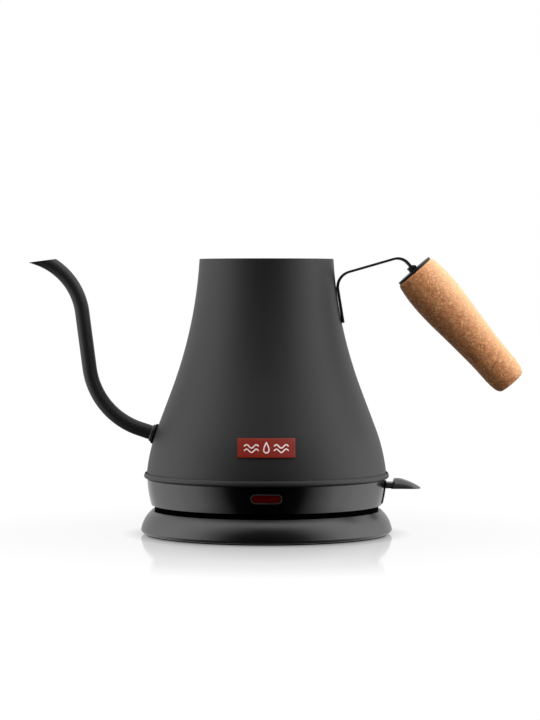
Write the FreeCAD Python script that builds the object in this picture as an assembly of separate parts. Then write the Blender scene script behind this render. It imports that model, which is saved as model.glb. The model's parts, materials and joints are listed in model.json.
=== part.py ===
"""Electric gooseneck pouring kettle with a cork grip, standing on its round power base.

Frame: millimetres, +Z up, origin at the centre of the base's underside.
The spout points to -X, the handle and the switch lever to +X, the badge and lamp face -Y.
"""
import FreeCAD, Part
import math
import os

V = FreeCAD.Vector
UP = V(0, 0, 1)
ACROSS = V(0, 1, 0)

# ---- fits
FIT = 0.05            # radial gap of a part seated in its neighbour
RUNNING = 0.05        # radial gap of a pivot pin
LOOSE = 0.4           # gap round a part that moves

# ---- power base
BASE_R = 75.6
BASE_TOP_R = 69.1
BASE_H = 14.4
BASE_WALL = 2.0
BASE_SHOULDER_Z = 2.7     # height of the widest point
BASE_LIP_Z = 0.9          # lower edge of the cover
TRAY_EDGE = 3.7           # how far the tray stops inside the widest point
TRAY_T = 2.0
FOOT_T = 1.5
FOOT_WIDTH = 8.0
SOCKET_R = 17.5
SOCKET_RISE = 7.6         # how far the connector stands above the base
SOCKET_FLANGE = 3.0
BASE_SCREW_R = 1.6
BASE_SCREW_PCD = 104.0
GLAND_R = 4.6
GLAND_BORE_R = 3.2

# ---- contacts between base and kettle
PIN_R = 2.0
RING_R = (6.5, 11.0)      # middle radii of the two contact rings
RING_T = 1.0
RING_REACH = 6.0          # how far pin and rings enter the connector
INLET_GAP = 2.0           # space above the connector, under the inlet moulding
INLET_T = 2.0
INLET_GAP_R = 0.5         # radial gap between the inlet moulding and the cup
CUP_GAP = 2.0             # radial space round the connector inside the cup
CUP_WALL = 1.8

# ---- kettle body, a shell of revolution
RIM_R = 40.3
RIM_LEAN = 3.41
FLARE_R = 268.2
FLANK_LEAN = 20.67
FLANK_L = 24.6
BELLY_R = 108.0
SHELL_T = 0.8
SEAT_R = 38.4             # bore of the mouth, where a lid seats
SEAT_L = 8.0
SEAT_DROP = 0.6

# ---- lower housing and its cover
TRIM_R = 73.8             # at the bead's widest point
TRIM_FOOT_R = 73.0
TRIM_SEAT_R = 69.0
HOUSING_TOP_R = 71.8
HOUSING_MID_R = 71.1
HOUSING_FOOT_R = 69.4
HOUSING_WALL = 2.0
COVER_R = 67.4
COVER_T = 2.0
COVER_FOOT_WIDTH = 4.5
COVER_SCREW_PCD = 112.0
COVER_SCREW_R = 1.5

# ---- heating and control
FLOOR_T = 1.0
DIFFUSER_R = 52.0
DIFFUSER_T = 3.0
ELEMENT_R = 42.0
ELEMENT_W = 6.5
ELEMENT_T = 3.2
ELEMENT_ARC = 290.0
CONTROL_EDGE = 2.7        # how far the control stands out past the cup's wall
CONTROL_H = 8.0
BIMETAL_R = 12.0
BIMETAL_T = 0.3
BIMETAL_GAP = 0.5         # space between the bimetal disc and the diffuser
STEAM_Y = 33.0
STEAM_R = 3.0
STEAM_WALL = 0.4
STEAM_DROP = 27.4         # from the rim down to the tube's open end

# ---- heights of the kettle, all built up from the base's top
HOUSING_FOOT_Z = BASE_H + 3.4
SOCKET_TOP_Z = BASE_H + SOCKET_RISE
CUP_TOP_Z = SOCKET_TOP_Z + INLET_GAP + INLET_T
FLOOR_Z = CUP_TOP_Z + CONTROL_H + BIMETAL_T + BIMETAL_GAP + DIFFUSER_T
TRIM_TOP_Z = FLOOR_Z - 0.8
TRIM_BOTTOM_Z = TRIM_TOP_Z - 3.8
SHELL_FOOT_Z = TRIM_BOTTOM_Z + 1.0
RIM_Z = FLOOR_Z + 127.6

# ---- spout
SPOUT_WALL_Z = RIM_Z - 105.4       # height where its axis leaves the wall, square to it
SPOUT_R = 4.35
SPOUT_T = 0.6
SPOUT_ROOT_L = 10.0
SPOUT_LOW_R = 44.6
SPOUT_RISE_ANGLE = 97.4
SPOUT_RISE_L = 33.8
SPOUT_TOP_R = 40.0
SPOUT_END_ANGLE = 161.0
SPOUT_END_L = 16.0
OUTLET_TILT = 7.57
OUTLET_BELOW = 1.97       # outlet plane under the end of the upper bend
FLANGE_R = 5.9
FLANGE_T = 0.7
SEAL_R = 6.2
SEAL_T = 0.8
SPOUT_NUT_R = 7.0
SPOUT_NUT_T = 2.4

# ---- handle
STRAP_T = 1.45
STRAP_W = 14.5
STRAP_FOOT_LOW_Z = RIM_Z - 38.5
STRAP_FOOT_HIGH_Z = RIM_Z - 15.4
STRAP_FOOT_BEND_R = 9.5
STRAP_TOP_BEND_R = 8.0
ARM_TILT = 16.1
GRIP_X = 89.5             # middle of the cork's top
GRIP_Z = RIM_Z - 7.8
GRIP_TILT = 48.9
GRIP_L = 88.7
GRIP_NECK = 12.2          # from the strap's upper corner to the cork
GRIP_OUTLINE = ((0.0, 12.4), (1.3, 13.1), (13.0, 14.45), (28.0, 14.2), (43.0, 12.95), (56.0, 11.95),
                (66.0, 11.35), (77.0, 11.1), (82.0, 10.8), (86.0, 9.95), (88.0, 8.6))
GRIP_END_R = 6.2
CAP_R = 12.0
CAP_T = 1.5
FERRULE_W = 4.9
FERRULE_T = 3.0
FERRULE_CHAMFER = 1.3
STUD_R = 2.0
STUD_L = 26.0
CORE_R = 5.0
CORE_WALL = 0.9
CORE_L = 72.0
INSERT_L = 18.0

# ---- switch lever
LEVER_X = 61.0
LEVER_Z = HOUSING_FOOT_Z + 11.2
LEVER_ANGLE = 10.0
LEVER_PIN_R = 1.0
LEVER_HUB_R = 1.9
LEVER_HUB_W = 8.0
NECK_BOTTOM_Z = LEVER_Z - 1.5
NECK_TOP_Z = LEVER_Z + 2.0
NECK_W = 11.0
PADDLE_X = 75.0
PADDLE_TIP_X = 92.8
PADDLE_BOTTOM_Z = LEVER_Z - 2.0
PADDLE_TOP_Z = LEVER_Z + 4.4
PADDLE_W = 16.0
FORK_ARM = 10.0
FORK_GAP = 2.8
FORK_PRONG = 1.2
TRIP_ARM = 12.0
TRIP_TIP_R = 1.0
TRIP_HUB_R = 2.2
TRIP_HUB_W = 4.4
TRIP_PIN_R = 0.8
EAR_T = 2.0
ESCUTCHEON_W = 22.0
ESCUTCHEON_PROUD = 0.6

# ---- lamp and badge
LAMP_Z = HOUSING_FOOT_Z + 8.8
LAMP_W = 18.4
LAMP_H = 5.9
BEZEL_T = 0.8
BEZEL_PROUD = 0.4
LENS_DEPTH = 2.4
BADGE_Z = RIM_Z - 109.4
BADGE_W = 33.3
BADGE_H = 11.0
BADGE_T = 0.8

# ---- derived places
TRAY_R = BASE_R - TRAY_EDGE
CUP_R = SOCKET_R + CUP_GAP
INLET_R = CUP_R - INLET_GAP_R
CONTROL_R = CUP_R + CUP_WALL + CONTROL_EDGE
STEAM_TOP_Z = RIM_Z - STEAM_DROP
COVER_TOP_Z = HOUSING_FOOT_Z
COVER_PLATE_Z = COVER_TOP_Z - COVER_T
DIFFUSER_Z = FLOOR_Z - DIFFUSER_T
TRIP_X = LEVER_X - FORK_ARM - TRIP_ARM
TRIP_Z = LEVER_Z


def at(r, z):
    return V(r, 0, z)


def line(a, b):
    return Part.makeLine(a, b)


def arc(a, b, c):
    return Part.Arc(a, b, c).toShape()


def polyline(points):
    return [line(a, b) for a, b in zip(points, points[1:])]


def face_of(edges):
    return Part.Face(Part.Wire(Part.__sortEdges__(edges)))


def turned(edges):
    """Solid of revolution about Z from closed edges in the XZ plane."""
    solid = face_of(edges).revolve(V(0, 0, 0), UP, 360)
    return solid


def turned_points(points):
    return turned(polyline(list(points) + [points[0]]))


def disc(r, z, height, x=0.0, y=0.0):
    return Part.makeCylinder(r, height, V(x, y, z), UP)


def tube(r_out, r_in, z, height, x=0.0, y=0.0):
    return disc(r_out, z, height, x, y).cut(disc(r_in, z, height, x, y))


def block(x0, x1, y0, y1, z0, z1):
    return Part.makeBox(x1 - x0, y1 - y0, z1 - z0, V(x0, y0, z0))


def cross_pin(r, x, z, width):
    return Part.makeCylinder(r, width, V(x, -width / 2, z), ACROSS)


# ---- the body's wall

def wall_centres():
    """Centres and joints of the wall's three stretches: flare, flank and belly."""
    lean = math.radians(RIM_LEAN)
    flank = math.radians(FLANK_LEAN)
    normal = V(math.cos(flank), 0, math.sin(flank))
    down = V(math.sin(flank), 0, -math.cos(flank))
    flare_centre = at(RIM_R, RIM_Z) + V(math.cos(lean), 0, math.sin(lean)) * FLARE_R
    flank_top = flare_centre - normal * FLARE_R
    flank_foot = flank_top + down * FLANK_L
    belly_centre = flank_foot - normal * BELLY_R
    return flare_centre, flank_top, flank_foot, belly_centre, normal


def wall_radius(z, inset=0.0):
    flare, _, _, belly, normal = wall_centres()
    top = flare - normal * (FLARE_R + inset)
    foot = belly + normal * (BELLY_R - inset)
    if z >= top.z:
        return flare.x - math.sqrt((FLARE_R + inset) ** 2 - (z - flare.z) ** 2)
    if z >= foot.z:
        return top.x + (top.z - z) * math.tan(math.radians(FLANK_LEAN))
    return belly.x + math.sqrt((BELLY_R - inset) ** 2 - (z - belly.z) ** 2)


def wall_point(z, inset=0.0):
    return at(wall_radius(z, inset), z)


def wall_edges(z_low, z_high, inset=0.0):
    """The wall's outline between two heights, moved inwards by inset."""
    flare, _, _, belly, normal = wall_centres()
    top = flare - normal * (FLARE_R + inset)
    foot = belly + normal * (BELLY_R - inset)
    edges = []
    if z_high > top.z:
        low = max(top.z, z_low)
        edges.append(arc(wall_point(z_high, inset), wall_point((z_high + low) / 2, inset),
                         wall_point(low, inset)))
    if z_high > foot.z and z_low < top.z:
        edges.append(line(wall_point(min(top.z, z_high), inset), wall_point(max(foot.z, z_low), inset)))
    if z_low < foot.z:
        high = min(foot.z, z_high)
        edges.append(arc(wall_point(high, inset), wall_point((high + z_low) / 2, inset),
                         wall_point(z_low, inset)))
    return edges


def wall_band(z_low, z_high, inset_out, inset_in):
    edges = wall_edges(z_low, z_high, inset_out) + wall_edges(z_low, z_high, inset_in)
    edges.append(line(wall_point(z_high, inset_out), wall_point(z_high, inset_in)))
    edges.append(line(wall_point(z_low, inset_out), wall_point(z_low, inset_in)))
    return turned(edges)


# ---- spout route

def heading(angle):
    return V(math.cos(math.radians(angle)), 0, math.sin(math.radians(angle)))


def left_of(angle):
    return heading(angle + 90)


def spout_root():
    """Where the spout's axis crosses the wall, and its heading square to the wall."""
    low = wall_point(SPOUT_WALL_Z - 0.01)
    high = wall_point(SPOUT_WALL_Z + 0.01)
    lean = math.degrees(math.atan2(low.x - high.x, high.z - low.z))
    return V(-wall_radius(SPOUT_WALL_Z), 0, SPOUT_WALL_Z), 180.0 - lean


def spout_route():
    """Start, straight runs and bends of the spout's centreline."""
    root, angle = spout_root()
    low_start = root + heading(angle) * SPOUT_ROOT_L
    low_centre = low_start - left_of(angle) * SPOUT_LOW_R
    low_end = low_centre + left_of(SPOUT_RISE_ANGLE) * SPOUT_LOW_R
    rise_end = low_end + heading(SPOUT_RISE_ANGLE) * SPOUT_RISE_L
    top_centre = rise_end + left_of(SPOUT_RISE_ANGLE) * SPOUT_TOP_R
    top_end = top_centre - left_of(SPOUT_END_ANGLE) * SPOUT_TOP_R
    return root, angle, low_start, low_centre, low_end, rise_end, top_centre, top_end


def bend(centre, start, start_angle, turn, r):
    """Round bar bent about centre, an axis along Y, from start through turn degrees."""
    ring = Part.Wire(Part.makeCircle(r, start, heading(start_angle)))
    return Part.Face(ring).revolve(centre, ACROSS, -turn)


def spout_bar(r, inner_start):
    """Solid bar along the spout's whole route."""
    root, angle, low_start, low_centre, low_end, rise_end, top_centre, top_end = spout_route()
    begin = root - heading(angle) * inner_start
    pieces = [
        Part.makeCylinder(r, (low_start - begin).Length, begin, heading(angle)),
        bend(low_centre, low_start, angle, SPOUT_RISE_ANGLE - angle, r),
        Part.makeCylinder(r, SPOUT_RISE_L, low_end, heading(SPOUT_RISE_ANGLE)),
        bend(top_centre, rise_end, SPOUT_RISE_ANGLE, SPOUT_END_ANGLE - SPOUT_RISE_ANGLE, r),
        Part.makeCylinder(r, SPOUT_END_L, top_end, heading(SPOUT_END_ANGLE)),
    ]
    bar = pieces[0]
    for piece in pieces[1:]:
        bar = bar.fuse(piece)
    return bar.removeSplitter()


def make_spout_tube():
    inside = SHELL_T + SPOUT_NUT_T + 0.8
    pipe = spout_bar(SPOUT_R, inside).cut(spout_bar(SPOUT_R - SPOUT_T, inside))
    top_end = spout_route()[-1]
    reach = 60.0
    above = Part.makeBox(2 * reach, 2 * reach, reach, V(-reach, -reach, 0))
    above.rotate(V(0, 0, 0), ACROSS, -OUTLET_TILT)
    above.translate(top_end - UP * OUTLET_BELOW)
    return pipe.cut(above)


def spout_collar(r_out, r_in, start, length):
    root, angle = spout_root()
    base = root + heading(angle) * start
    return Part.makeCylinder(r_out, length, base, heading(angle)).cut(
        Part.makeCylinder(r_in, length, base, heading(angle)))


def make_spout_seal():
    ring = spout_collar(SEAL_R, SPOUT_R + FIT, -FLANGE_T, FLANGE_T + SEAL_T)
    return ring.cut(wall_body(0.0))


def make_spout_flange():
    return spout_collar(FLANGE_R, SPOUT_R + FIT, SEAL_T, FLANGE_T)


def make_spout_nut():
    sag = wall_radius(SPOUT_WALL_Z) - math.sqrt(wall_radius(SPOUT_WALL_Z) ** 2 - SPOUT_NUT_R ** 2)
    start = -SHELL_T - sag - FIT - SPOUT_NUT_T
    return spout_collar(SPOUT_NUT_R, SPOUT_R + FIT, start, SPOUT_NUT_T)


# ---- body pieces

def wall_body(inset):
    """The solid that the wall encloses."""
    edges = wall_edges(SHELL_FOOT_Z, RIM_Z, inset)
    edges += polyline([wall_point(RIM_Z, inset), at(0, RIM_Z), at(0, SHELL_FOOT_Z),
                       wall_point(SHELL_FOOT_Z, inset)])
    return turned(edges)


def make_body_shell():
    shell = wall_band(SHELL_FOOT_Z, RIM_Z, 0.0, SHELL_T)
    root, angle = spout_root()
    start = root - heading(angle) * 10
    return shell.cut(Part.makeCylinder(SPOUT_R + FIT, 20, start, heading(angle)))


def make_mouth_ring():
    top = RIM_Z - SEAT_DROP
    low = top - SEAT_L
    inset = SHELL_T + FIT
    edges = wall_edges(low, top, inset)
    edges += polyline([wall_point(top, inset), at(SEAT_R, top), at(SEAT_R, low), wall_point(low, inset)])
    return turned(edges)


def make_vessel_floor():
    top = FLOOR_Z + FLOOR_T
    plate = disc(wall_radius(top, SHELL_T) - FIT, FLOOR_Z, FLOOR_T)
    return plate.cut(disc(STEAM_R + 1.0, FLOOR_Z, FLOOR_T, 0, STEAM_Y))


def make_heat_diffuser():
    return disc(DIFFUSER_R, DIFFUSER_Z, DIFFUSER_T).cut(
        disc(STEAM_R + 1.0, DIFFUSER_Z, DIFFUSER_T, 0, STEAM_Y))


def make_heating_element():
    low = DIFFUSER_Z - ELEMENT_T
    half = ELEMENT_W / 2
    outline = [at(ELEMENT_R - half + 0.9, low), at(ELEMENT_R + half - 0.9, low),
               at(ELEMENT_R + half, low + 1.2), at(ELEMENT_R + half, DIFFUSER_Z),
               at(ELEMENT_R - half, DIFFUSER_Z), at(ELEMENT_R - half, low + 1.2)]
    face = face_of(polyline(outline + [outline[0]]))
    bar = face.revolve(V(0, 0, 0), UP, ELEMENT_ARC)
    bar.rotate(V(0, 0, 0), UP, 180 - ELEMENT_ARC / 2)
    for side in (-1, 1):
        angle = math.radians(180 + side * (ELEMENT_ARC / 2 - 2.5))
        bar = bar.fuse(disc(1.4, low - 4.5, 5.5, ELEMENT_R * math.cos(angle), ELEMENT_R * math.sin(angle)))
    return bar


def make_steam_tube():
    low = CUP_TOP_Z + CONTROL_H - 1.0
    return tube(STEAM_R, STEAM_R - STEAM_WALL, low, STEAM_TOP_Z - low, 0, STEAM_Y)


def make_steam_grommet():
    body = disc(STEAM_R + 1.0 - FIT, DIFFUSER_Z, DIFFUSER_T + FLOOR_T, 0, STEAM_Y)
    body = body.fuse(disc(STEAM_R + 2.4, FLOOR_Z + FLOOR_T, 1.6, 0, STEAM_Y))
    return body.cut(disc(STEAM_R + 0.02, DIFFUSER_Z, 10, 0, STEAM_Y))


# ---- lower housing

def make_trim_ring():
    inner_top = wall_radius(TRIM_TOP_Z) + FIT
    inner_low = wall_radius(SHELL_FOOT_Z) + FIT
    wide_z = TRIM_BOTTOM_Z + (TRIM_TOP_Z - TRIM_BOTTOM_Z) * 0.4
    edges = [arc(at(inner_top + 0.6, TRIM_TOP_Z), at(TRIM_R, wide_z), at(TRIM_FOOT_R, TRIM_BOTTOM_Z))]
    edges += polyline([at(TRIM_FOOT_R, TRIM_BOTTOM_Z), at(TRIM_SEAT_R, TRIM_BOTTOM_Z),
                       at(TRIM_SEAT_R, SHELL_FOOT_Z), at(inner_low, SHELL_FOOT_Z),
                       at(inner_top, TRIM_TOP_Z), at(inner_top + 0.6, TRIM_TOP_Z)])
    return turned(edges)


def housing_arc(offset):
    mid_z = (TRIM_BOTTOM_Z + HOUSING_FOOT_Z) / 2
    return arc(at(HOUSING_TOP_R + offset, TRIM_BOTTOM_Z), at(HOUSING_MID_R + offset, mid_z),
               at(HOUSING_FOOT_R + offset, HOUSING_FOOT_Z))


def housing_band(outer, inner):
    edges = [housing_arc(outer), housing_arc(inner)]
    edges.append(line(at(HOUSING_TOP_R + outer, TRIM_BOTTOM_Z), at(HOUSING_TOP_R + inner, TRIM_BOTTOM_Z)))
    edges.append(line(at(HOUSING_FOOT_R + outer, HOUSING_FOOT_Z), at(HOUSING_FOOT_R + inner, HOUSING_FOOT_Z)))
    return turned(edges)


def stadium(width, height, y_from, y_to, z):
    """Flat-sided oval bar along Y, centred on x = 0."""
    half = width / 2 - height / 2
    bar = block(-half, half, y_from, y_to, z - height / 2, z + height / 2)
    for x in (-half, half):
        bar = bar.fuse(Part.makeCylinder(height / 2, y_to - y_from, V(x, y_from, z), ACROSS))
    return bar.removeSplitter()


def lever_slot():
    """Window for the lever's neck, deep enough for its whole swing."""
    reach = HOUSING_TOP_R + ESCUTCHEON_PROUD - LEVER_X
    low = NECK_BOTTOM_Z - reach * math.sin(math.radians(LEVER_ANGLE)) - LOOSE
    half = NECK_W / 2 + LOOSE
    return block(HOUSING_FOOT_R - 10, HOUSING_TOP_R + 10, -half, half, low, TRIM_BOTTOM_Z)


def make_lower_housing():
    shell = housing_band(0.0, -HOUSING_WALL)
    shell = shell.cut(lever_slot())
    return shell.cut(stadium(LAMP_W, LAMP_H, -BASE_R, -HOUSING_FOOT_R + 10, LAMP_Z))


def make_switch_escutcheon():
    band = housing_band(ESCUTCHEON_PROUD, FIT)
    half = ESCUTCHEON_W / 2
    plate = band.common(block(0, BASE_R, -half, half, HOUSING_FOOT_Z + 1.0, TRIM_BOTTOM_Z - 0.6))
    return plate.cut(lever_slot())


def make_lamp_bezel():
    prism = stadium(LAMP_W - 2 * FIT, LAMP_H - 2 * FIT, -BASE_R, -HOUSING_FOOT_R + 10, LAMP_Z)
    inner = stadium(LAMP_W - 2 * BEZEL_T, LAMP_H - 2 * BEZEL_T, -BASE_R, -HOUSING_FOOT_R + 10, LAMP_Z)
    return housing_band(BEZEL_PROUD, -HOUSING_WALL).common(prism.cut(inner))


def make_lamp_lens():
    gap = 2 * BEZEL_T + 2 * FIT
    prism = stadium(LAMP_W - gap, LAMP_H - gap, -BASE_R, -HOUSING_FOOT_R + 10, LAMP_Z)
    return housing_band(BEZEL_PROUD / 2, -LENS_DEPTH).common(prism)


def make_indicator_lamp():
    back = -(HOUSING_FOOT_R - LENS_DEPTH - 2.0)
    body = Part.makeCylinder(1.8, 9.0, V(-4.5, back, LAMP_Z), V(1, 0, 0))
    holder = block(-5.5, 5.5, back + 1.9, back + 3.4, HOUSING_FOOT_Z, LAMP_Z + 2.0)
    return body.fuse(holder).fuse(block(-1.0, 1.0, back, back + 2.0, LAMP_Z - 1.0, LAMP_Z + 1.0))


def make_bottom_cover():
    plate = disc(COVER_R, COVER_PLATE_Z, COVER_T)
    foot = tube(COVER_R, COVER_R - COVER_FOOT_WIDTH, BASE_H, COVER_PLATE_Z - BASE_H)
    cup = disc(CUP_R + CUP_WALL, COVER_PLATE_Z, CUP_TOP_Z - COVER_PLATE_Z)
    cover = plate.fuse(foot).fuse(cup).cut(disc(CUP_R, BASE_H, CUP_TOP_Z))
    for x, y in circle_places(3, COVER_SCREW_PCD / 2, 60):
        cover = cover.cut(disc(COVER_SCREW_R + 0.1, COVER_PLATE_Z, COVER_T, x, y))
    return cover.removeSplitter()


def circle_places(count, r, first):
    angles = [math.radians(first + 360.0 * i / count) for i in range(count)]
    return [(r * math.cos(a), r * math.sin(a)) for a in angles]


def screw(x, y, head_z, shaft_r, length):
    """Pan-head screw driven upwards; head_z is the face that its head bears on."""
    head = disc(2 * shaft_r, head_z - 1.2, 1.2, x, y)
    body = head.fuse(disc(shaft_r, head_z, length, x, y))
    return body.cut(block(x - 0.3, x + 0.3, y - 1.2, y + 1.2, head_z - 1.2, head_z - 0.5))


def make_cover_screws():
    places = circle_places(3, COVER_SCREW_PCD / 2, 60)
    return Part.makeCompound([screw(x, y, COVER_PLATE_Z, COVER_SCREW_R, 11.0) for x, y in places])


def make_cover_posts():
    """Moulded posts under the floor plate that the cover's screws bite in."""
    places = circle_places(3, COVER_SCREW_PCD / 2, 60)
    height = DIFFUSER_Z - COVER_TOP_Z
    posts = []
    for x, y in places:
        post = disc(3.6, COVER_TOP_Z, height + DIFFUSER_T, x, y)
        posts.append(post.cut(disc(COVER_SCREW_R + 0.02, COVER_TOP_Z, 10.0, x, y)))
    return Part.makeCompound(posts)


# ---- control and electrical inlet

def make_control_block():
    body = disc(CONTROL_R, CUP_TOP_Z, CONTROL_H)
    ear = TRIP_HUB_W / 2 + LOOSE
    for side in (-1, 1):
        y0, y1 = sorted((side * ear, side * (ear + EAR_T)))
        body = body.fuse(block(CONTROL_R - 6, TRIP_X + 3, y0, y1, CUP_TOP_Z, TRIP_Z + 3.0))
    body = body.cut(cross_pin(TRIP_PIN_R + 0.02, TRIP_X, TRIP_Z, 20))
    body = body.fuse(block(-5, 5, CONTROL_R - 4, STEAM_Y + 5, CUP_TOP_Z, CUP_TOP_Z + CONTROL_H - 1.0))
    return body.cut(disc(STEAM_R - STEAM_WALL, CUP_TOP_Z + 2, CONTROL_H, 0, STEAM_Y))


def make_bimetal_disc():
    return disc(BIMETAL_R, CUP_TOP_Z + CONTROL_H, BIMETAL_T)


def make_contact_blades():
    """Two switched contact blades on the control's rim, one each side of the trip lever."""
    blades = []
    for side in (-1, 1):
        y0, y1 = sorted((side * 8.0, side * 12.0))
        blade = block(CONTROL_R - 1.0, CONTROL_R + 9.0, y0, y1, CUP_TOP_Z - 0.9, CUP_TOP_Z - 0.4)
        blade = blade.fuse(block(CONTROL_R + 8.5, CONTROL_R + 9.0, y0, y1, CUP_TOP_Z - 0.9, CUP_TOP_Z + 3.0))
        blades.append(blade)
    return Part.makeCompound(blades)


def make_inlet_moulding():
    z = CUP_TOP_Z - INLET_T
    return disc(INLET_R, z, INLET_T - 0.3).cut(disc(PIN_R + 0.02, z, INLET_T))


def make_earth_pin():
    low = SOCKET_TOP_Z - RING_REACH
    pin = disc(PIN_R, low, CUP_TOP_Z - 0.3 - low)
    return pin.makeChamfer(0.5, [pin.Edges[2]])


def make_contact_ring(middle_r):
    low = SOCKET_TOP_Z - RING_REACH
    return tube(middle_r + RING_T / 2, middle_r - RING_T / 2, low, CUP_TOP_Z - INLET_T - low)


# ---- power base

def make_base_cover():
    mid_z = (BASE_SHOULDER_Z + BASE_H) / 2
    mid_r = (BASE_R + BASE_TOP_R) / 2 + 1.4
    roof_z = BASE_H - BASE_WALL
    inner_r = TRAY_R + 0.1
    inner_z = FOOT_T + TRAY_T + 0.1
    outer = [arc(at(BASE_TOP_R, BASE_H), at(mid_r, mid_z), at(BASE_R, BASE_SHOULDER_Z)),
             arc(at(BASE_R, BASE_SHOULDER_Z), at(BASE_R - 0.9, BASE_LIP_Z + 0.5),
                 at(inner_r + 0.3, BASE_LIP_Z))]
    inner = [arc(at(BASE_TOP_R - 0.9, roof_z), at(mid_r - BASE_WALL, mid_z), at(inner_r, inner_z))]
    outer += polyline([at(inner_r + 0.3, BASE_LIP_Z), at(inner_r, BASE_LIP_Z), at(inner_r, inner_z)])
    inner += polyline([at(BASE_TOP_R - 0.9, roof_z), at(SOCKET_R + FIT, roof_z),
                       at(SOCKET_R + FIT, BASE_H), at(BASE_TOP_R, BASE_H)])
    cover = turned(outer + inner)
    return cover.cut(gland_axis_bar(GLAND_R + FIT, 30))


def gland_axis_bar(r, length):
    """Bar along Y through the cover's back wall, where the supply cord enters."""
    return Part.makeCylinder(r, length, V(0, BASE_R - 11, gland_z()), ACROSS)


def gland_z():
    return FOOT_T + TRAY_T + GLAND_R - 2.2


def make_cord_gland():
    """Bush that the supply cord passes; a groove in it grips the cover's wall."""
    y = BASE_R - 8.5
    body = Part.makeCylinder(GLAND_R, 9.5, V(0, y, gland_z()), ACROSS)
    body = body.common(block(-10, 10, 0, BASE_R, FOOT_T + TRAY_T, BASE_H - BASE_WALL - 0.1))
    return body.cut(Part.makeCylinder(GLAND_BORE_R, 30, V(0, y - 5, gland_z() + 0.2), ACROSS))


def make_base_tray():
    plate = disc(TRAY_R, FOOT_T, TRAY_T)
    for x, y in circle_places(4, BASE_SCREW_PCD / 2, 45):
        plate = plate.cut(disc(BASE_SCREW_R + 0.1, FOOT_T, TRAY_T, x, y))
    return plate


def make_foot_ring():
    return tube(TRAY_R, TRAY_R - FOOT_WIDTH, 0, FOOT_T)


def make_base_screws():
    places = circle_places(4, BASE_SCREW_PCD / 2, 45)
    return Part.makeCompound([screw(x, y, FOOT_T, BASE_SCREW_R, 7.0) for x, y in places])


def make_base_posts():
    places = circle_places(4, BASE_SCREW_PCD / 2, 45)
    low = FOOT_T + TRAY_T
    posts = []
    for x, y in places:
        post = disc(3.8, low, BASE_H - BASE_WALL - low, x, y)
        posts.append(post.cut(disc(BASE_SCREW_R + 0.02, low, 6.0, x, y)))
    return Part.makeCompound(posts)


def base_blades(extra):
    """The three spring contacts: one under the pin, one in each ring's groove."""
    blades = []
    top = SOCKET_TOP_Z - RING_REACH - 0.6
    for r, angle in ((0.0, 0.0), (RING_R[0], 120.0), (RING_R[1], 240.0)):
        blade = block(-0.3 - extra, 0.3 + extra, -1.6 - extra, 1.6 + extra, 7.0 - extra, top + extra)
        blade.translate(V(r, 0, 0))
        blade.rotate(V(0, 0, 0), UP, angle)
        blades.append(blade)
    return blades


def make_base_contacts():
    return Part.makeCompound(base_blades(0.0))


def make_base_socket():
    low = FOOT_T + TRAY_T
    body = disc(SOCKET_R, low, SOCKET_TOP_Z - low)
    body = body.fuse(disc(SOCKET_R + SOCKET_FLANGE, low, 2.0))
    floor = SOCKET_TOP_Z - RING_REACH - 1.0
    body = body.cut(disc(PIN_R + 0.5, floor, 20))
    for r in RING_R:
        body = body.cut(tube(r + RING_T / 2 + 0.5, r - RING_T / 2 - 0.5, floor, 20))
    for blade in base_blades(0.05):
        body = body.cut(blade)
    return body.removeSplitter()


def make_base_leads():
    """Two insulated leads from the gland to the connector, and the earth lead between them."""
    leads = []
    z = FOOT_T + TRAY_T + 1.6
    for x in (-2.6, 0.0, 2.6):
        start = V(x, SOCKET_R + SOCKET_FLANGE + 0.2, z)
        leads.append(Part.makeCylinder(1.1, BASE_R - 9.0 - start.y, start, ACROSS))
    return Part.makeCompound(leads)


# ---- handle

def grip_axis():
    return heading(-GRIP_TILT)


def on_grip(shape):
    """Moves a shape built up along +Z so that it runs down the grip from the cork's top."""
    shape.Placement = FreeCAD.Placement(at(GRIP_X, GRIP_Z), FreeCAD.Rotation(UP, grip_axis())).multiply(
        shape.Placement)
    return shape


def strap_corners():
    """Corners of the strap's centreline: foot, wall bend, upper bend and end on the grip's axis."""
    clear = STRAP_T / 2 + FIT
    low = wall_point(STRAP_FOOT_LOW_Z)
    high = wall_point(STRAP_FOOT_HIGH_Z)
    along = (high - low).normalize()
    out = V(along.z, 0, -along.x)
    foot = low + out * clear
    upper = at(GRIP_X, GRIP_Z) - grip_axis() * GRIP_NECK
    arm = heading(ARM_TILT)
    span = upper - foot
    t = (span.x * arm.z - span.z * arm.x) / (along.x * arm.z - along.z * arm.x)
    wall_bend = foot + along * t
    end = at(GRIP_X, GRIP_Z) - grip_axis() * (CAP_T + 0.1)
    return foot, wall_bend, upper, end


def rounded_route(corners, radii):
    """Edges of an open outline whose inner corners are rounded by tangent arcs."""
    edges = []
    start = corners[0]
    for i, r in enumerate(radii):
        before, corner, after = corners[i], corners[i + 1], corners[i + 2]
        back = (before - corner).normalize()
        on = (after - corner).normalize()
        half = back.getAngle(on) / 2
        cut = r / math.tan(half)
        first = corner + back * cut
        last = corner + on * cut
        middle = corner + (back + on).normalize() * (r / math.sin(half) - r)
        edges.append(line(start, first))
        edges.append(arc(first, middle, last))
        start = last
    edges.append(line(start, corners[-1]))
    return edges


def offset_corners(corners, d):
    """The same corners moved sideways by d, so that every run keeps its direction."""
    runs = [(b - a).normalize() for a, b in zip(corners, corners[1:])]
    sides = [V(-run.z, 0, run.x) for run in runs]
    moved = [corners[0] + sides[0] * d]
    for i in range(1, len(corners) - 1):
        bisector = (sides[i - 1] + sides[i]).normalize()
        moved.append(corners[i] + bisector * (d / bisector.dot(sides[i])))
    moved.append(corners[-1] + sides[-1] * d)
    return moved


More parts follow.
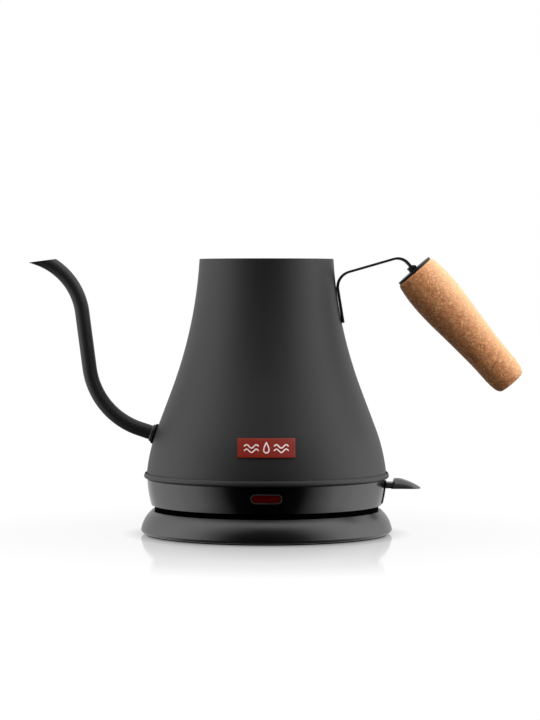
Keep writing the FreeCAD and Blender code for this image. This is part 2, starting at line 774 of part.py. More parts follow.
def make_handle_strap():
    corners = strap_corners()
    half = STRAP_T / 2
    outer = offset_corners(corners, half)
    inner = offset_corners(corners, -half)
    edges = rounded_route(outer, (STRAP_FOOT_BEND_R + half, STRAP_TOP_BEND_R + half))
    edges += rounded_route(inner, (STRAP_FOOT_BEND_R - half, STRAP_TOP_BEND_R - half))
    edges += [line(outer[0], inner[0]), line(outer[-1], inner[-1])]
    strap = face_of(edges).extrude(ACROSS * STRAP_W)
    strap.translate(ACROSS * (-STRAP_W / 2))
    return strap


def make_handle_ferrule():
    half = FERRULE_W / 2
    top = -CAP_T - FERRULE_T
    low = -CAP_T
    outline = [at(-half, low), at(half, low), at(half, top), at(-half + FERRULE_CHAMFER, top),
               at(-half, top + FERRULE_CHAMFER)]
    bar = face_of(polyline(outline + [outline[0]])).extrude(ACROSS * STRAP_W)
    bar.translate(ACROSS * (-STRAP_W / 2))
    slot = block(-STRAP_T / 2 - 0.02, STRAP_T / 2 + 0.02, -STRAP_W, STRAP_W, top, -CAP_T - 0.1)
    return on_grip(bar.cut(slot))


def make_handle_end_cap():
    cap = disc(CAP_R, -CAP_T, CAP_T)
    cap = cap.makeFillet(0.4, [cap.Edges[0]])
    return on_grip(cap.cut(disc(STUD_R + FIT, -CAP_T - 1, CAP_T + 2)))


def make_handle_stud():
    return on_grip(disc(STUD_R, -CAP_T, STUD_L))


def make_grip_core():
    pipe = tube(CORE_R, CORE_R - CORE_WALL, 0.2, CORE_L - 0.2)
    return on_grip(pipe)


def make_core_insert():
    plug = tube(CORE_R - CORE_WALL - FIT, STUD_R + 0.02, 8.0, INSERT_L)
    return on_grip(plug)


def make_cork_grip():
    points = [at(r, u) for u, r in GRIP_OUTLINE] + [at(GRIP_END_R, GRIP_L)]
    edges = [arc(*points[i:i + 3]) for i in range(1, len(points) - 2, 2)]
    edges += polyline([points[-1], at(0, GRIP_L), at(0, 0), points[0], points[1]])
    cork = turned(edges)
    return on_grip(cork.cut(disc(CORE_R + FIT, -1, CORE_L + 1.2)))


# ---- switch lever and trip

def make_switch_lever():
    hub = cross_pin(LEVER_HUB_R, LEVER_X, LEVER_Z, LEVER_HUB_W)
    inner = block(LEVER_X - FORK_ARM + 1.5, LEVER_X, -LEVER_HUB_W / 2, LEVER_HUB_W / 2,
                  LEVER_Z - 1.2, LEVER_Z + 1.2)
    neck = block(LEVER_X, PADDLE_X + 1.0, -LEVER_HUB_W / 2, LEVER_HUB_W / 2, NECK_BOTTOM_Z, NECK_TOP_Z)
    wide = block(LEVER_X + 4.5, PADDLE_X + 1.0, -NECK_W / 2, NECK_W / 2, NECK_BOTTOM_Z, NECK_TOP_Z)
    lever = hub.fuse(inner).fuse(neck).fuse(wide).fuse(lever_paddle()).fuse(lever_fork())
    return lever.cut(cross_pin(LEVER_PIN_R + RUNNING, LEVER_X, LEVER_Z, 40)).removeSplitter()


def lever_paddle():
    """Thumb pad: flat underneath, leaning back at its heel and falling away to a thin tip."""
    heel = at(PADDLE_X, PADDLE_BOTTOM_Z + 0.3)
    shoulder = at(PADDLE_X + 2.1, PADDLE_TOP_Z - 0.35)
    top = at(PADDLE_X + 3.4, PADDLE_TOP_Z)
    middle = at(PADDLE_X + 10.9, PADDLE_TOP_Z - 1.8)
    tip_high = at(PADDLE_TIP_X - 0.15, PADDLE_BOTTOM_Z + 0.9)
    tip_low = at(PADDLE_TIP_X - 1.0, PADDLE_BOTTOM_Z)
    edges = [arc(tip_high, middle, top), arc(tip_high, at(PADDLE_TIP_X, PADDLE_BOTTOM_Z + 0.3), tip_low)]
    edges += polyline([top, shoulder, heel, at(PADDLE_X + 0.5, PADDLE_BOTTOM_Z), tip_low])
    side = face_of(edges).extrude(ACROSS * PADDLE_W)
    side.translate(ACROSS * (-PADDLE_W / 2))
    half = PADDLE_W / 2
    end_x = PADDLE_TIP_X - half
    plan = block(PADDLE_X, end_x, -half, half, 0, RIM_Z).fuse(disc(half, 0, RIM_Z, end_x, 0))
    return side.common(plan)


def lever_fork():
    """Two prongs that hold the trip lever's round tip."""
    x = LEVER_X - FORK_ARM
    half = FORK_GAP / 2
    prongs = block(x - 1.5, x + 2.0, -2.0, 2.0, LEVER_Z - half - FORK_PRONG, LEVER_Z + half + FORK_PRONG)
    return prongs.cut(block(x - 3.0, x + 1.5, -3.0, 3.0, LEVER_Z - half, LEVER_Z + half))


def make_trip_lever():
    hub = cross_pin(TRIP_HUB_R, TRIP_X, TRIP_Z, TRIP_HUB_W)
    tip_x = TRIP_X + TRIP_ARM
    tip = cross_pin(TRIP_TIP_R, tip_x, TRIP_Z, TRIP_HUB_W - 1.0)
    arm = block(TRIP_X, tip_x, -1.7, 1.7, TRIP_Z - 0.8, TRIP_Z + 0.8)
    nose = block(TRIP_X - 6.0, TRIP_X, -1.7, 1.7, TRIP_Z - 0.8, TRIP_Z + 0.8)
    lever = hub.fuse(tip).fuse(arm).fuse(nose)
    return lever.cut(cross_pin(TRIP_PIN_R + RUNNING, TRIP_X, TRIP_Z, 20)).removeSplitter()


def make_lever_pin():
    return cross_pin(LEVER_PIN_R, LEVER_X, LEVER_Z, LEVER_HUB_W + 2 * (LOOSE + EAR_T))


def make_trip_pin():
    return cross_pin(TRIP_PIN_R, TRIP_X, TRIP_Z, TRIP_HUB_W + 2 * (LOOSE + EAR_T))


def make_lever_bracket():
    half = LEVER_HUB_W / 2 + LOOSE
    plate = block(LEVER_X - 6, LEVER_X + 4, -half - EAR_T, half + EAR_T, COVER_TOP_Z, COVER_TOP_Z + 1.6)
    for side in (-1, 1):
        y0, y1 = sorted((side * half, side * (half + EAR_T)))
        plate = plate.fuse(block(LEVER_X - 3, LEVER_X + 3, y0, y1, COVER_TOP_Z, LEVER_Z + 2.2))
    return plate.cut(cross_pin(LEVER_PIN_R + 0.02, LEVER_X, LEVER_Z, 40))


# ---- badge

def make_badge():
    """Plain curved plate on the shell's front."""
    half = BADGE_H / 2
    band = wall_band(BADGE_Z - half, BADGE_Z + half, -BADGE_T, -0.01)
    return band.common(block(-BADGE_W / 2, BADGE_W / 2, -BASE_R - 20, 0, 0, RIM_Z))


PARTS = {
    "base_cover": make_base_cover,
    "base_tray": make_base_tray,
    "foot_ring": make_foot_ring,
    "base_screws": make_base_screws,
    "base_posts": make_base_posts,
    "base_socket": make_base_socket,
    "base_contacts": make_base_contacts,
    "base_leads": make_base_leads,
    "cord_gland": make_cord_gland,
    "inlet_moulding": make_inlet_moulding,
    "earth_pin": make_earth_pin,
    "inner_contact_ring": lambda: make_contact_ring(RING_R[0]),
    "outer_contact_ring": lambda: make_contact_ring(RING_R[1]),
    "body_shell": make_body_shell,
    "mouth_ring": make_mouth_ring,
    "vessel_floor": make_vessel_floor,
    "heat_diffuser": make_heat_diffuser,
    "heating_element": make_heating_element,
    "steam_tube": make_steam_tube,
    "steam_grommet": make_steam_grommet,
    "spout_tube": make_spout_tube,
    "spout_seal": make_spout_seal,
    "spout_flange": make_spout_flange,
    "spout_nut": make_spout_nut,
    "trim_ring": make_trim_ring,
    "lower_housing": make_lower_housing,
    "bottom_cover": make_bottom_cover,
    "cover_screws": make_cover_screws,
    "cover_posts": make_cover_posts,
    "control_block": make_control_block,
    "bimetal_disc": make_bimetal_disc,
    "contact_blades": make_contact_blades,
    "switch_escutcheon": make_switch_escutcheon,
    "lever_bracket": make_lever_bracket,
    "lever_pin": make_lever_pin,
    "trip_pin": make_trip_pin,
    "switch_lever": make_switch_lever,
    "trip_lever": make_trip_lever,
    "lamp_bezel": make_lamp_bezel,
    "lamp_lens": make_lamp_lens,
    "indicator_lamp": make_indicator_lamp,
    "badge": make_badge,
    "handle_strap": make_handle_strap,
    "handle_ferrule": make_handle_ferrule,
    "handle_end_cap": make_handle_end_cap,
    "handle_stud": make_handle_stud,
    "grip_core": make_grip_core,
    "core_insert": make_core_insert,
    "cork_grip": make_cork_grip,
}


def main():
    os.makedirs("parts", exist_ok=True)
    for name, make in PARTS.items():
        shape = make()
        shape.exportStep("parts/" + name + ".step")
        box = shape.BoundBox
        print(f"{name:20s} solids {len(shape.Solids)} valid {shape.isValid()} volume {shape.Volume:9.0f}"
              f"  x {box.XMin:7.1f} {box.XMax:7.1f}  z {box.ZMin:6.1f} {box.ZMax:6.1f}")


main()
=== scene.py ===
"""Looks of the gooseneck kettle: materials, finer meshes, studio and camera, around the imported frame."""

import json
import math

import bmesh
import bpy
from mathutils import Matrix, Vector, noise
from mathutils.bvhtree import BVHTree

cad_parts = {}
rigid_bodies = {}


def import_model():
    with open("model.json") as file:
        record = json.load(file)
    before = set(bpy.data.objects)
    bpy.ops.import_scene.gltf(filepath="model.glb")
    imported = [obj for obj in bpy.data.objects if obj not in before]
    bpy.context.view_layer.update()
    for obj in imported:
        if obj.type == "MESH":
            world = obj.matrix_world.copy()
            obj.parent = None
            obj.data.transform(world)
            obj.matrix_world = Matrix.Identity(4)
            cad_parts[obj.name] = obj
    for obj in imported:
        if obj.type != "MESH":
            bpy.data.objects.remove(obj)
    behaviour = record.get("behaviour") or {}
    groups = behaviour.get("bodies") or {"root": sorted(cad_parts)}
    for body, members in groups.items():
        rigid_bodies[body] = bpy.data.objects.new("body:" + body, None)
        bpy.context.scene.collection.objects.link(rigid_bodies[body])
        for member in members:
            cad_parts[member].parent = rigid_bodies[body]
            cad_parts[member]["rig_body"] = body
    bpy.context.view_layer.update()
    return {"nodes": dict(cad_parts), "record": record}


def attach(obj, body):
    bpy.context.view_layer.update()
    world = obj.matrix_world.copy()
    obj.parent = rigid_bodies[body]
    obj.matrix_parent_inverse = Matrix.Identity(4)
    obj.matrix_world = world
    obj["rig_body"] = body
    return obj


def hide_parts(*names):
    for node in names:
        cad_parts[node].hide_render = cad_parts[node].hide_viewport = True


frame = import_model()

MM = 0.001

# ---- camera: level with the kettle's shoulder, straight on to the badge
CAMERA_PLACE = Vector((0.0021, -1.505, 0.1503))
CAMERA_PITCH = math.radians(1.74)
CAMERA_LENS = 125.0

# ---- studio light, by the angle from straight ahead of the badge
DARK_TO = math.radians(38)        # the dark card in front reaches this far out
BRIGHT_FROM = math.radians(73)
CARD_RISE = 0.42                  # under 1, the dark card is taller than it is wide
BEHIND_FROM = math.radians(98)    # behind the kettle the light falls off
BEHIND_TO = math.radians(140)
BEHIND_LEFT = 0.42
SIDE_LIGHT = 2.0
RIGHT_GAIN = 0.14
TOP_LIGHT = 2.1
KEY_LIGHT = 4.1                   # only diffuse surfaces see it
KEY_FROM = Vector((0.50, -0.36, 0.79)).normalized()

# ---- grip, millimetres along its axis from the cork's top
GRIP_TOP = Vector((89.5, 0.0, 157.6))
GRIP_TILT = math.radians(48.9)
GRIP_OUTLINE = ((0.0, 12.2), (0.5, 12.75), (1.6, 13.15), (5.0, 13.72), (9.0, 14.2), (13.0, 14.45),
                (20.5, 14.5), (28.0, 14.2), (35.5, 13.63), (43.0, 12.95), (49.5, 12.44), (56.0, 11.95),
                (61.0, 11.6), (66.0, 11.35), (71.5, 11.2), (77.0, 11.1), (79.5, 11.0), (82.0, 10.8),
                (84.0, 10.5), (86.0, 9.95), (87.2, 9.3), (88.0, 8.6), (88.5, 7.6), (88.7, 6.2))
CORK_RELIEF = 0.075
CORK_LIT_SIDE = Vector((math.sin(GRIP_TILT), 0.0, math.cos(GRIP_TILT)))    # the side facing up and out, painted paler as a highlight
CORK_HIGHLIGHT_FROM = 1.0       # millimetres off the grip's axis
CORK_HIGHLIGHT_TO = 13.0
CORE_R = 5.5               # inside this the cork is left smooth

# ---- trim bead
BEAD_TOP_Z = 37.0
BEAD_FOOT_Z = 33.2
BEAD_GAP = 0.60            # dark joint between the bead and the housing
BEAD_R = 73.8
BEAD_FOOT_R = 73.1
BEAD_BACK_R = 72.7         # inner edge of the bead's top, at the groove
BEAD_SEAT_R = 70.3         # outer edge of the ring that the bead stands on
BEAD_BORE_R = 69.0

# ---- spout's root: outer face of its flange, and the tube's rise off the level
SPOUT_ROOT = Vector((-68.5, 0.0, 60.48))
SPOUT_LEAN = 18.6

# ---- switch lever: hub on its pin, neck, fork and thumb pad
LEVER_X = 61.0
LEVER_Z = 29.0
HUB_R = 1.9
HUB_W = 8.0
FORK_HALF_W = 2.0
PAD_HEEL_X = 75.0
PAD_TIP_X = 92.8
PAD_FOOT_Z = 27.0
PAD_TOP_Z = 33.4
PAD_HALF_W = 8.0
PAD_TOP_X = PAD_HEEL_X + 3.0       # the pad's top starts to fall here
PAD_TIP_T = 0.9                    # thickness left at the tip
PAD_BELLY = 0.22                   # where the pad is widest, as a share of its height
NECK_HALF_W = 5.5

# ---- floor, metres from the middle of the base
FLOOR_HALF = 6.0
SHADE_FROM = 0.0728        # contact shade, darkest here
SHADE_TO = 0.088
MIRROR_FROM = 0.07         # the reflection fades out between these
MIRROR_TO = 0.24

# ---- emblem on the badge, millimetres
BADGE_Z = 56.0
STROKE_HALF_W = 0.34
STROKE_LIFT = 0.10         # how far a line stands off the badge
DROP_HALF_W = 2.15
DROP_HALF_H = 3.0
DROP_SHIFT = 0.2
RIPPLE_FROM = 4.4          # from the drop's middle
RIPPLE_TO = 12.8
RIPPLE_ROWS = (-1.6, 0.9)
RIPPLE_HEIGHT = 0.95
RIPPLE_WAVES = 1.5


# ---------------------------------------------------------------- node helpers

class Shader:
    """A material's node tree, with short calls for the nodes that it needs."""

    def __init__(self, name):
        self.material = bpy.data.materials.new(name)
        self.material.use_nodes = True
        self.tree = self.material.node_tree
        self.tree.nodes.clear()
        self.output = self.tree.nodes.new("ShaderNodeOutputMaterial")

    def node(self, kind, settings=None, **inputs):
        made = self.tree.nodes.new("ShaderNode" + kind)
        for key, value in (settings or {}).items():
            setattr(made, key, value)
        for key, value in inputs.items():
            self.feed(made, key.replace("_", " "), value)
        return made

    def feed(self, node, socket, value):
        target = node.inputs[socket]
        if isinstance(value, bpy.types.NodeSocket):
            self.tree.links.new(value, target)
        else:
            target.default_value = value

    def place(self):
        return self.node("TexCoord").outputs["Object"]

    def noise(self, scale, detail=2.0, roughness=0.5, vector=None):
        made = self.node("TexNoise", Scale=scale, Detail=detail, Roughness=roughness)
        self.feed(made, "Vector", vector or self.place())
        return made.outputs["Fac"]

    def ramp(self, factor, stops):
        made = self.node("ValToRGB")
        elements = made.color_ramp.elements
        while len(elements) < len(stops):
            elements.new(1.0)
        for element, (position, colour) in zip(elements, stops):
            element.position = position
            element.color = (*colour, 1.0)
        self.feed(made, "Fac", factor)
        return made.outputs["Color"]

    def span(self, value, low, high, to_low=0.0, to_high=1.0):
        made = self.node("MapRange")
        self.feed(made, "Value", value)
        for name, number in (("From Min", low), ("From Max", high), ("To Min", to_low), ("To Max", to_high)):
            self.feed(made, name, number)
        return made.outputs["Result"]

    def math(self, operation, a, b=0.0):
        made = self.node("Math", {"operation": operation})
        self.feed_index(made, 0, a)
        self.feed_index(made, 1, b)
        return made.outputs[0]

    def feed_index(self, node, index, value):
        if isinstance(value, bpy.types.NodeSocket):
            self.tree.links.new(value, node.inputs[index])
        else:
            node.inputs[index].default_value = value

    def mix(self, factor, a, b, blend="MIX"):
        made = self.node("Mix", {"data_type": "RGBA", "blend_type": blend})
        for index, value in ((0, factor), (6, a), (7, b)):
            self.feed_index(made, index, value)
        return made.outputs[2]

    def bump(self, height, strength, distance):
        made = self.node("Bump", Strength=strength, Distance=distance)
        self.feed(made, "Height", height)
        return made.outputs["Normal"]

    def surface(self, **inputs):
        made = self.node("BsdfPrincipled")
        for key, value in inputs.items():
            self.feed(made, key.replace("_", " "), value)
        self.tree.links.new(made.outputs[0], self.output.inputs["Surface"])
        return self.material


def rgb(r, g, b):
    return (r, g, b, 1.0)


# ---------------------------------------------------------------- materials

def powder_coat():
    s = Shader("powder_coat")
    grain = s.noise(5200.0, 3.0, 0.6)
    cloud = s.noise(26.0, 2.0)
    colour = s.ramp(cloud, ((0.3, (0.0050, 0.0050, 0.0051)), (0.7, (0.0062, 0.0062, 0.0063))))
    rough = s.span(grain, 0.3, 0.7, 0.50, 0.58)
    return s.surface(Base_Color=colour, Roughness=rough, Normal=s.bump(grain, 0.25, 0.00005))


def moulded_plastic(name, shade, roughness, grain=0.10, specular=0.5, ior=1.5):
    s = Shader(name)
    fine = s.noise(2600.0, 2.0, 0.5)
    cloud = s.noise(60.0, 2.0)
    colour = s.ramp(cloud, ((0.3, tuple(c * 0.9 for c in shade)), (0.7, tuple(c * 1.1 for c in shade))))
    rough = s.span(cloud, 0.3, 0.7, roughness - 0.02, roughness + 0.02)
    return s.surface(Base_Color=colour, Roughness=rough, Specular_IOR_Level=specular, IOR=ior,
                     Normal=s.bump(fine, grain, 0.00004))


def brushed_steel():
    s = Shader("steel")
    stretched = s.node("Mapping")
    stretched.inputs["Scale"].default_value = (220.0, 220.0, 9000.0)
    s.feed(stretched, "Vector", s.place())
    lines = s.noise(1.0, 3.0, 0.6, stretched.outputs["Vector"])
    rough = s.span(lines, 0.3, 0.7, 0.24, 0.42)
    return s.surface(Base_Color=rgb(0.62, 0.61, 0.59), Metallic=1.0, Roughness=rough,
                     Normal=s.bump(lines, 0.15, 0.00003))


def plain_metal(name, shade, roughness):
    s = Shader(name)
    cloud = s.noise(900.0, 3.0)
    rough = s.span(cloud, 0.3, 0.7, roughness * 0.8, roughness * 1.25)
    return s.surface(Base_Color=rgb(*shade), Metallic=1.0, Roughness=rough)


def rubber(name, shade, roughness):
    s = Shader(name)
    fine = s.noise(3000.0, 2.0)
    colour = s.ramp(fine, ((0.3, tuple(c * 0.8 for c in shade)), (0.7, tuple(c * 1.2 for c in shade))))
    return s.surface(Base_Color=colour, Roughness=roughness, IOR=1.12, Normal=s.bump(fine, 0.2, 0.00005))


def cork():
    """Pressed granules of several browns, with pale flecks, dark seams and pits."""
    s = Shader("cork")
    place = s.place()
    bent = s.node("VectorMath", {"operation": "ADD"})
    wobble = s.node("TexNoise", Scale=900.0, Detail=2.0)
    s.feed(wobble, "Vector", place)
    scaled = s.node("VectorMath", {"operation": "SCALE"}, Scale=0.0006)
    s.feed_index(scaled, 0, wobble.outputs["Color"])
    s.feed_index(bent, 0, place)
    s.feed_index(bent, 1, scaled.outputs[0])
    where = bent.outputs[0]
    grains = s.node("TexVoronoi", {"feature": "F1"}, Scale=1050.0, Randomness=1.0)
    s.feed(grains, "Vector", where)
    edges = s.node("TexVoronoi", {"feature": "DISTANCE_TO_EDGE"}, Scale=1050.0, Randomness=1.0)
    s.feed(edges, "Vector", where)
    tint = s.node("SeparateColor")
    s.feed(tint, "Color", grains.outputs["Color"])
    tone = s.ramp(tint.outputs[0], ((0.0, (0.36, 0.118, 0.032)), (0.25, (0.56, 0.205, 0.062)),
                                    (0.7, (0.74, 0.300, 0.100)), (0.9, (0.84, 0.40, 0.160)),
                                    (1.0, (0.93, 0.58, 0.30))))
    cloud = s.noise(120.0, 4.0, 0.65)
    warm = s.mix(s.span(cloud, 0.35, 0.7, 0.0, 0.5), tone, rgb(0.72, 0.270, 0.082))
    seam = s.span(edges.outputs["Distance"], 0.0, 0.07, 0.62, 1.0)
    seamed = s.mix(1.0, warm, s.ramp(seam, ((0.0, (0, 0, 0)), (1.0, (1, 1, 1)))), "MULTIPLY")
    pits = s.noise(760.0, 3.0, 0.7, place)
    pit = s.span(pits, 0.655, 0.72)
    pitted = s.mix(pit, seamed, rgb(0.115, 0.036, 0.013))
    specks = s.noise(2300.0, 3.0, 0.75, place)
    # painted highlight: towards the side that faces up and out, the cork is mixed to a pale cream that stands
    # in for the key light falling there
    across = s.node("VectorMath", {"operation": "DOT_PRODUCT"})
    s.feed_index(across, 0, place)
    s.feed_index(across, 1, tuple(CORK_LIT_SIDE))
    middle = CORK_LIT_SIDE.dot(GRIP_TOP)
    highlight_from = (middle + CORK_HIGHLIGHT_FROM) * MM
    highlight_to = (middle + CORK_HIGHLIGHT_TO) * MM
    painted_highlight = s.span(across.outputs["Value"], highlight_from, highlight_to, 0.0, 0.55)
    highlighted = s.mix(painted_highlight, pitted, rgb(0.90, 0.60, 0.34))
    specked = s.mix(s.span(specks, 0.52, 0.65, 0.0, 0.75), highlighted, rgb(0.23, 0.078, 0.027))
    flecks = s.noise(1900.0, 2.0, 0.6, place)
    colour = s.mix(s.span(flecks, 0.66, 0.75, 0.0, 0.7), specked, rgb(0.95, 0.66, 0.42))
    sunk = s.math("SUBTRACT", seam, s.math("MULTIPLY", pit, 0.9))
    height = s.math("ADD", sunk, s.math("MULTIPLY", specks, 1.1))
    return s.surface(Base_Color=colour, Roughness=0.62, Normal=s.bump(height, 0.9, 0.0004))


def red_lens():
    """Dark red lens with a fine grid of pimples moulded on its back."""
    s = Shader("lens_red")
    dots = s.node("TexVoronoi", {"feature": "F1"}, Scale=1500.0, Randomness=0.0)
    s.feed(dots, "Vector", s.place())
    pale = s.span(dots.outputs["Distance"], 0.15, 0.45, 1.0, 0.0)
    colour = s.mix(pale, rgb(0.032, 0.0003, 0.0005), rgb(0.062, 0.0008, 0.0010))
    return s.surface(Base_Color=colour, Roughness=0.22, Specular_IOR_Level=0.10,
                     Normal=s.bump(dots.outputs["Distance"], 0.10, 0.0001))


def enamel(name, shade):
    s = Shader(name)
    cloud = s.noise(400.0, 2.0)
    colour = s.ramp(cloud, ((0.3, tuple(c * 0.94 for c in shade)), (0.7, tuple(c * 1.06 for c in shade))))
    return s.surface(Base_Color=colour, Roughness=0.36, Specular_IOR_Level=0.25,
                     Normal=s.bump(cloud, 0.05, 0.00005))


MATERIALS = {
    "powder_coat": powder_coat(),
    "steel": brushed_steel(),
    "housing_plastic": moulded_plastic("housing_plastic", (0.0012, 0.0012, 0.0012), 0.18),
    "base_plastic": moulded_plastic("base_plastic", (0.0022, 0.0022, 0.0023), 0.31,
                                    grain=0.03, specular=0.68),
    # painted shade: the bottom cover is near black and has no reflection (IOR 1.02), so the gap between
    # housing and base reads as shadow
    "cover_plastic": moulded_plastic("cover_plastic", (0.0006, 0.0006, 0.0006), 0.6, ior=1.02),
    "inner_plastic": moulded_plastic("inner_plastic", (0.70, 0.67, 0.60), 0.45),
    "cork": cork(),
    "rubber": rubber("rubber", (0.0012, 0.0012, 0.0012), 0.8),
    "silicone": rubber("silicone", (0.002, 0.002, 0.002), 0.55),
    "brass": plain_metal("brass", (0.80, 0.58, 0.26), 0.28),
    "aluminium": plain_metal("aluminium", (0.78, 0.78, 0.79), 0.38),
    "lens_red": red_lens(),
    "bezel_metal": plain_metal("bezel_metal", (0.20, 0.17, 0.165), 0.40),
    "badge_red": enamel("badge_red", (0.165, 0.0125, 0.0068)),
    "lead_sleeve": rubber("lead_sleeve", (0.20, 0.07, 0.02), 0.5),
}
BADGE_WHITE = enamel("badge_white", (0.62, 0.50, 0.48))
LEVER_SATIN = moulded_plastic("lever_satin", (0.034, 0.034, 0.034), 0.30, specular=0.6)


def dress_cad_nodes():
    """Each CAD node gets the material of its slot in the record."""
    for entry in frame["record"]["subparts"]:
        node = frame["nodes"][entry["node"]]
        node.data.materials.clear()
        node.data.materials.append(MATERIALS[entry["material_slot"]])


# ---------------------------------------------------------------- finer meshes

def linked(name, mesh, material, body):
    piece = bpy.data.objects.new(name, mesh)
    bpy.context.collection.objects.link(piece)
    mesh.materials.clear()
    mesh.materials.append(material)
    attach(piece, body)
    return piece


def stands_for(node_name):
    """The piece replaces a CAD node, which is hidden."""
    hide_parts(node_name)


def smooth_by_angle(mesh, degrees):
    """Smooth faces, with sharp edges wherever two faces meet at more than this angle."""
    work = bmesh.new()
    work.from_mesh(mesh)
    for face in work.faces:
        face.smooth = True
    for edge in work.edges:
        edge.smooth = len(edge.link_faces) == 2 and edge.calc_face_angle(0.0) < math.radians(degrees)
    work.to_mesh(mesh)
    work.free()


def add_softened(node_name, width):
    """A CAD node's own mesh with its sharp edges rounded to width, in millimetres."""
    node = frame["nodes"][node_name]
    work = bmesh.new()
    work.from_mesh(node.data)
    bmesh.ops.remove_doubles(work, verts=work.verts, dist=0.002 * MM)
    bmesh.ops.dissolve_limit(work, angle_limit=math.radians(0.6), verts=work.verts, edges=work.edges)
    sharp = [e for e in work.edges if len(e.link_faces) == 2 and e.calc_face_angle(0.0) > math.radians(35)]
    bmesh.ops.bevel(work, geom=sharp, offset=width * MM, segments=3, profile=0.5, affect="EDGES",
                    clamp_overlap=True)
    mesh = bpy.data.meshes.new(node_name + "_soft")
    work.to_mesh(mesh)
    work.free()
    mesh.transform(node.matrix_world)
    smooth_by_angle(mesh, 40)
    piece = linked(node_name + "_soft", mesh, node.data.materials[0], node["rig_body"])
    stands_for(node_name)


def lathe_mesh(name, profile, segments, place=None, closed=True):
    """Mesh turned about Z from (radius, height) pairs in millimetres; place moves each point at the end."""
    work = bmesh.new()
    rings = []
    for r, z in profile:
        ring = []
        for k in range(segments):
            angle = 2 * math.pi * k / segments
            point = Vector((r * math.cos(angle), r * math.sin(angle), z))
            ring.append(work.verts.new((place(point) if place else point) * MM))
        rings.append(ring)
    pairs = list(zip(rings, rings[1:] + rings[:1])) if closed else list(zip(rings, rings[1:]))
    for low, high in pairs:
        for k in range(segments):
            n = (k + 1) % segments
            work.faces.new((low[k], low[n], high[n], high[k]))
    bmesh.ops.recalc_face_normals(work, faces=work.faces)
    mesh = bpy.data.meshes.new(name)
    work.to_mesh(mesh)
    work.free()
    smooth_by_angle(mesh, 50)
    return mesh


def finer_outline(points, step):
    """The same outline with points no further apart than step, along Catmull-Rom curves."""
    fine = []
    count = len(points)
    for i in range(count - 1):
        p0, p1 = points[max(i - 1, 0)], points[i]
        p2, p3 = points[i + 1], points[min(i + 2, count - 1)]
        length = math.hypot(p2[0] - p1[0], p2[1] - p1[1])
        parts = max(1, math.ceil(length / step))
        for k in range(parts):
            t = k / parts
            fine.append(tuple(0.5 * (2 * b + (c - a) * t + (2 * a - 5 * b + 4 * c - d) * t * t
                                     + (3 * b - a - 3 * c + d) * t ** 3)
                              for a, b, c, d in zip(p0, p1, p2, p3)))
    fine.append(points[-1])
    return fine


def add_cork_grip():
    """Cork with real granule relief, its top and end faces closed up to the steel core."""
    down = Vector((math.cos(GRIP_TILT), 0, -math.sin(GRIP_TILT)))
    across = Vector((0, 1, 0))
    side = across.cross(down)

    def place(point):
        radial = Vector((point.x, point.y, 0))
        r = radial.length
        spot = GRIP_TOP + down * point.z + side * point.x + across * point.y
        if r < CORE_R:
            return spot
        cell = noise.voronoi(spot * 0.85)[0]
        grain = min(1.0, (cell[1] - cell[0]) * 2.2) - 0.5
        rough = noise.noise(spot * 2.6)
        lift = CORK_RELIEF * (0.8 * grain + 0.7 * rough)
        outward = (side * point.x + across * point.y) / r
        return spot + outward * lift

    outline = finer_outline([(r, u) for u, r in GRIP_OUTLINE], 0.30)
    profile = [(5.1, 0.0), (8.5, 0.0)] + outline + [(4.0, 88.7), (0.02, 88.7)]
    mesh = lathe_mesh("cork_grip_fine", profile, 300, place, closed=False)
    piece = linked("cork_grip_fine", mesh, MATERIALS["cork"], "kettle")
    stands_for("cork_grip")


def add_trim_bead():
    """Bead round the foot of the body: a crisp rounded top edge over a shallow groove."""
    foot = BEAD_FOOT_Z + BEAD_GAP
    wide_z = foot + (BEAD_TOP_Z - foot) * 0.36
    back = BEAD_BACK_R
    outline = [(71.4, foot), (back - 0.6, BEAD_TOP_Z - 1.9), (back, BEAD_TOP_Z - 1.8),
               (back + 0.03, BEAD_TOP_Z - 0.35), (back + 0.13, BEAD_TOP_Z - 0.08),
               (back + 0.30, BEAD_TOP_Z), (back + 0.48, BEAD_TOP_Z - 0.08)]
    for k in range(1, 9):
        t = k / 8
        outline.append((back + 0.55 + (BEAD_R - back - 0.55) * math.sin(t * math.pi / 2),
                        BEAD_TOP_Z - 0.18 - (BEAD_TOP_Z - wide_z - 0.18) * t))
    for k in range(1, 7):
        t = k / 6
        outline.append((BEAD_R - (BEAD_R - BEAD_FOOT_R) * t * t, wide_z - (wide_z - foot - 0.12) * t))
    outline += [(BEAD_FOOT_R - 0.25, foot), (BEAD_SEAT_R, foot), (BEAD_SEAT_R, BEAD_FOOT_Z),
                (BEAD_BORE_R, BEAD_FOOT_Z), (BEAD_BORE_R, foot)]
    mesh = lathe_mesh("trim_bead", outline, 320)
    piece = linked("trim_bead", mesh, MATERIALS["powder_coat"], "kettle")
    stands_for("trim_ring")


def pad_section(x, t):
    """Half width, top height and lean of the thumb pad at x, which is t of the way to its tip."""
    tip_reach = max(0.0, x - (PAD_TIP_X - PAD_HALF_W)) / PAD_HALF_W
    half_w = PAD_HALF_W * math.sqrt(max(0.0, 1 - min(tip_reach, 0.995) ** 2))
    fall = max(0.0, (x - PAD_TOP_X) / (PAD_TIP_X - PAD_TOP_X))
    top = PAD_TOP_Z - (PAD_TOP_Z - PAD_FOOT_Z - PAD_TIP_T) * fall ** 1.75
    lean = 2.1 * (1 - min(1.0, t * 2.2))
    return half_w, top, lean


def rounded_bar(work, x0, x1, half_w, z0, z1, radius):
    """Adds a block along X to work, with its edges rounded to radius."""
    made = bmesh.ops.create_cube(work, size=1.0)
    for v in made["verts"]:
        v.co = Vector(((x0 + x1) / 2 + v.co.x * (x1 - x0), v.co.y * 2 * half_w,
                       (z0 + z1) / 2 + v.co.z * (z1 - z0))) * MM
    edges = {e for v in made["verts"] for e in v.link_edges}
    bmesh.ops.bevel(work, geom=list(edges), offset=radius * MM, segments=3, profile=0.5, affect="EDGES")


